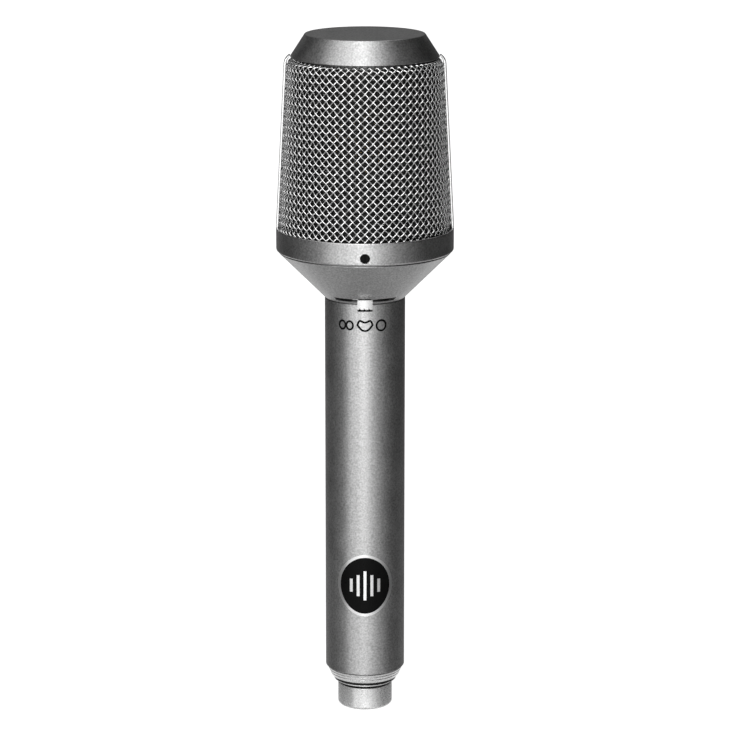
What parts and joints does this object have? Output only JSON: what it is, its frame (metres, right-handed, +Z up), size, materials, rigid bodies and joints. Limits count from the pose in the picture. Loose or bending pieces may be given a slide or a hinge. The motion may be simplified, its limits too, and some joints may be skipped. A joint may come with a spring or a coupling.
{
  "type": "microphone",
  "caption": "Slim side-address studio microphone with a tapered woven-wire head, a flat cap, a pattern lever and a plug-in foot.",
  "frame": {"origin": "middle of the straight barrel, on its axis, where a stand clamp grips", "axes": "+Z up the axis towards the cap, front with badge and lever facing -Y, +X to the right seen from the front"},
  "size_m": [0.0484, 0.0484, 0.1892],
  "materials": {
    "satin_nickel": "satin nickel plate over brass, very fine grain",
    "bright_nickel": "smoother nickel plate",
    "bright_mesh": "bright nickel-plated woven wire",
    "fine_gauze": "fine dull wire gauze",
    "bright_strip": "bright nickel strip",
    "black_steel": "blackened steel",
    "bright_steel": "plain bright steel",
    "bright_lever": "bright plate",
    "bright_badge": "polished nickel",
    "black_enamel": "black enamel fill",
    "laminate": "brown paper laminate",
    "black_phenolic": "black moulded phenolic",
    "black_rubber": "matt rubber",
    "ivory_insulator": "ivory plastic",
    "gold_plate": "gold plate",
    "gold_film": "gold-coated film",
    "red_lead": "sleeved wire",
    "turned_brass": "turned brass",
    "chassis_aluminium": "plain aluminium",
    "valve_glass": "clear glass",
    "tan_resistor": "lacquered body with wire ends",
    "blue_capacitor": "sleeved body",
    "core_iron": "stacked laminations",
    "copper_coil": "enamelled copper winding",
    "screening_can": "dull screening metal",
    "brown_insert": "brown moulded insulator"
  },
  "bodies": {
    "microphone": {"top_cap": "satin_nickel", "grille_mesh_front": "bright_mesh", "grille_mesh_rear": "bright_mesh", "gauze_liner": "fine_gauze", "side_strip_left": "bright_strip", "side_strip_right": "bright_strip", "grille_ring": "satin_nickel", "grille_screws": "black_steel", "head_cone": "satin_nickel", "capsule_platform": "laminate", "platform_screws": "bright_steel", "shock_ring": "black_rubber", "capsule_post": "bright_steel", "capsule_cradle": "satin_nickel", "capsule_spacer": "ivory_insulator", "backplate_front": "gold_plate", "backplate_rear": "gold_plate", "capsule_ring_front": "ivory_insulator", "capsule_ring_rear": "ivory_insulator", "diaphragm_front": "gold_film", "diaphragm_rear": "gold_film", "clamp_ring_front": "bright_steel", "clamp_ring_rear": "bright_steel", "clamp_screws": "bright_steel", "capsule_leads": "red_lead", "switch_wafer": "laminate", "wafer_contacts": "bright_steel", "switch_bush": "turned_brass", "switch_circlip": "black_steel", "detent_spring": "bright_steel", "detent_ball": "bright_steel", "body_tube": "satin_nickel", "pattern_marks": "black_enamel", "badge_plate": "black_enamel", "badge_rim": "bright_badge", "badge_bars": "bright_badge", "upper_bulkhead": "chassis_aluminium", "lower_bulkhead": "chassis_aluminium", "chassis_rods": "turned_brass", "chassis_screws": "bright_steel", "valve": "valve_glass", "valve_brackets": "chassis_aluminium", "valve_cushions": "black_rubber", "tag_board": "laminate", "tag_pins": "gold_plate", "resistors": "tan_resistor", "capacitors": "blue_capacitor", "transformer_core": "core_iron", "transformer_coil": "copper_coil", "transformer_can": "screening_can", "end_collar": "bright_nickel", "connector_neck": "bright_nickel", "connector_insert": "brown_insert", "contact_pins": "gold_plate"},
    "pattern_switch": {"pattern_lever": "bright_lever", "switch_rotor": "black_phenolic", "rotor_rivets": "gold_plate", "switch_wipers": "gold_plate"}
  },
  "joints": [
    {"name": "pattern_select", "type": "hinge", "parent": "microphone", "child": "pattern_switch", "pos_m": [0, 0, 0.05375], "axis": [0, 0, 1], "range_deg": [-27, 27]}
  ]
}
